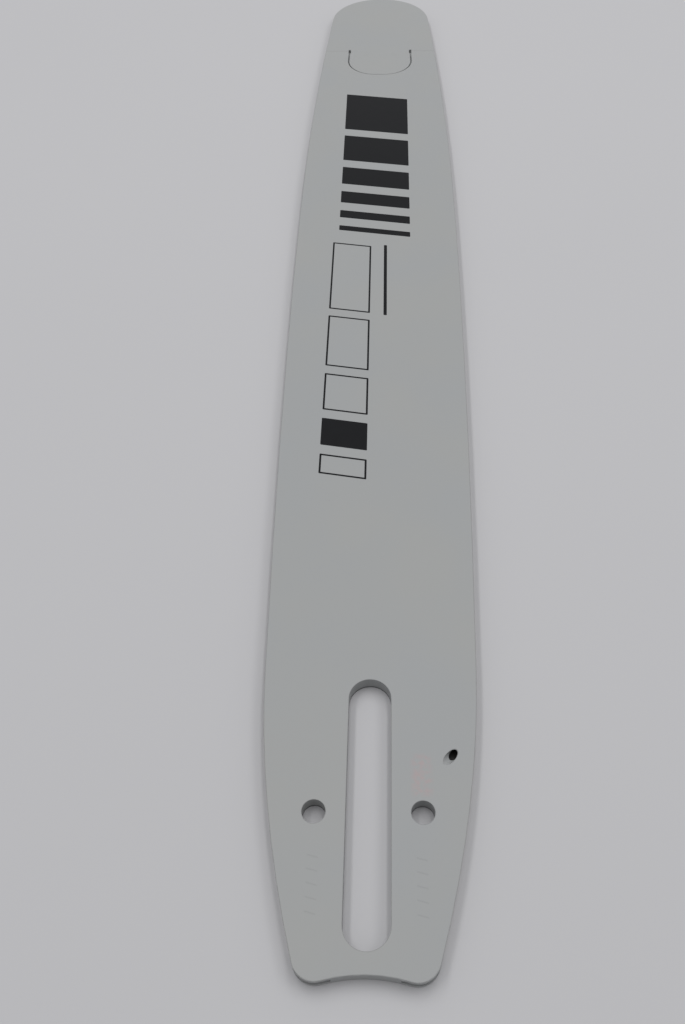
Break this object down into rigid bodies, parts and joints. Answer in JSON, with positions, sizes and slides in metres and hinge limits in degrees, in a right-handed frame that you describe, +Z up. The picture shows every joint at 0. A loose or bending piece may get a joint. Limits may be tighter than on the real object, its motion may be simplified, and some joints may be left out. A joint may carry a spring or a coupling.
{
  "type": "chainsaw guide bar",
  "caption": "Long flat steel guide bar for a chainsaw: clamping slot and adjuster holes at the tail, chain groove along both edges, and a riveted nose with a free-turning star wheel.",
  "frame": {"origin": "under the middle of the bar, on the surface that it lies on", "axes": "+Y along the bar towards the nose, +X to the right, +Z up out of the printed face"},
  "size_m": [0.0688, 0.527, 0.0047],
  "materials": {
    "bar_paint": "smooth satin grey paint",
    "wheel_steel": "hardened steel, lightly oiled",
    "bearing_steel": "ground bearing steel"
  },
  "bodies": {
    "bar": {"bar_body": "bar_paint", "nose_cheek_upper": "bar_paint", "nose_cheek_lower": "bar_paint", "bearing_hub": "bearing_steel", "hub_rivets": "bar_paint", "tongue_rivets": "bar_paint"},
    "star_wheel": {"nose_sprocket": "wheel_steel"},
    "roller_row": {"roller_01": "bearing_steel", "roller_02": "bearing_steel", "roller_03": "bearing_steel", "roller_04": "bearing_steel", "roller_05": "bearing_steel", "roller_06": "bearing_steel", "roller_07": "bearing_steel", "roller_08": "bearing_steel", "roller_09": "bearing_steel", "roller_10": "bearing_steel", "roller_11": "bearing_steel", "roller_12": "bearing_steel", "roller_13": "bearing_steel", "roller_14": "bearing_steel", "roller_15": "bearing_steel", "roller_16": "bearing_steel", "roller_17": "bearing_steel", "roller_18": "bearing_steel", "roller_19": "bearing_steel", "roller_20": "bearing_steel", "roller_21": "bearing_steel"}
  },
  "joints": [
    {"name": "wheel_spin", "type": "hinge", "parent": "bar", "child": "star_wheel", "pos_m": [0, 0.2364, 0.00235], "axis": [0, 0, 1], "continuous": true},
    {"name": "roller_orbit", "type": "hinge", "parent": "bar", "child": "roller_row", "pos_m": [0, 0.2364, 0.00235], "axis": [0, 0, 1], "continuous": true}
  ],
  "couplings": [
    {"joint": "roller_orbit", "follows": "wheel_spin", "ratio": 0.57143}
  ]
}
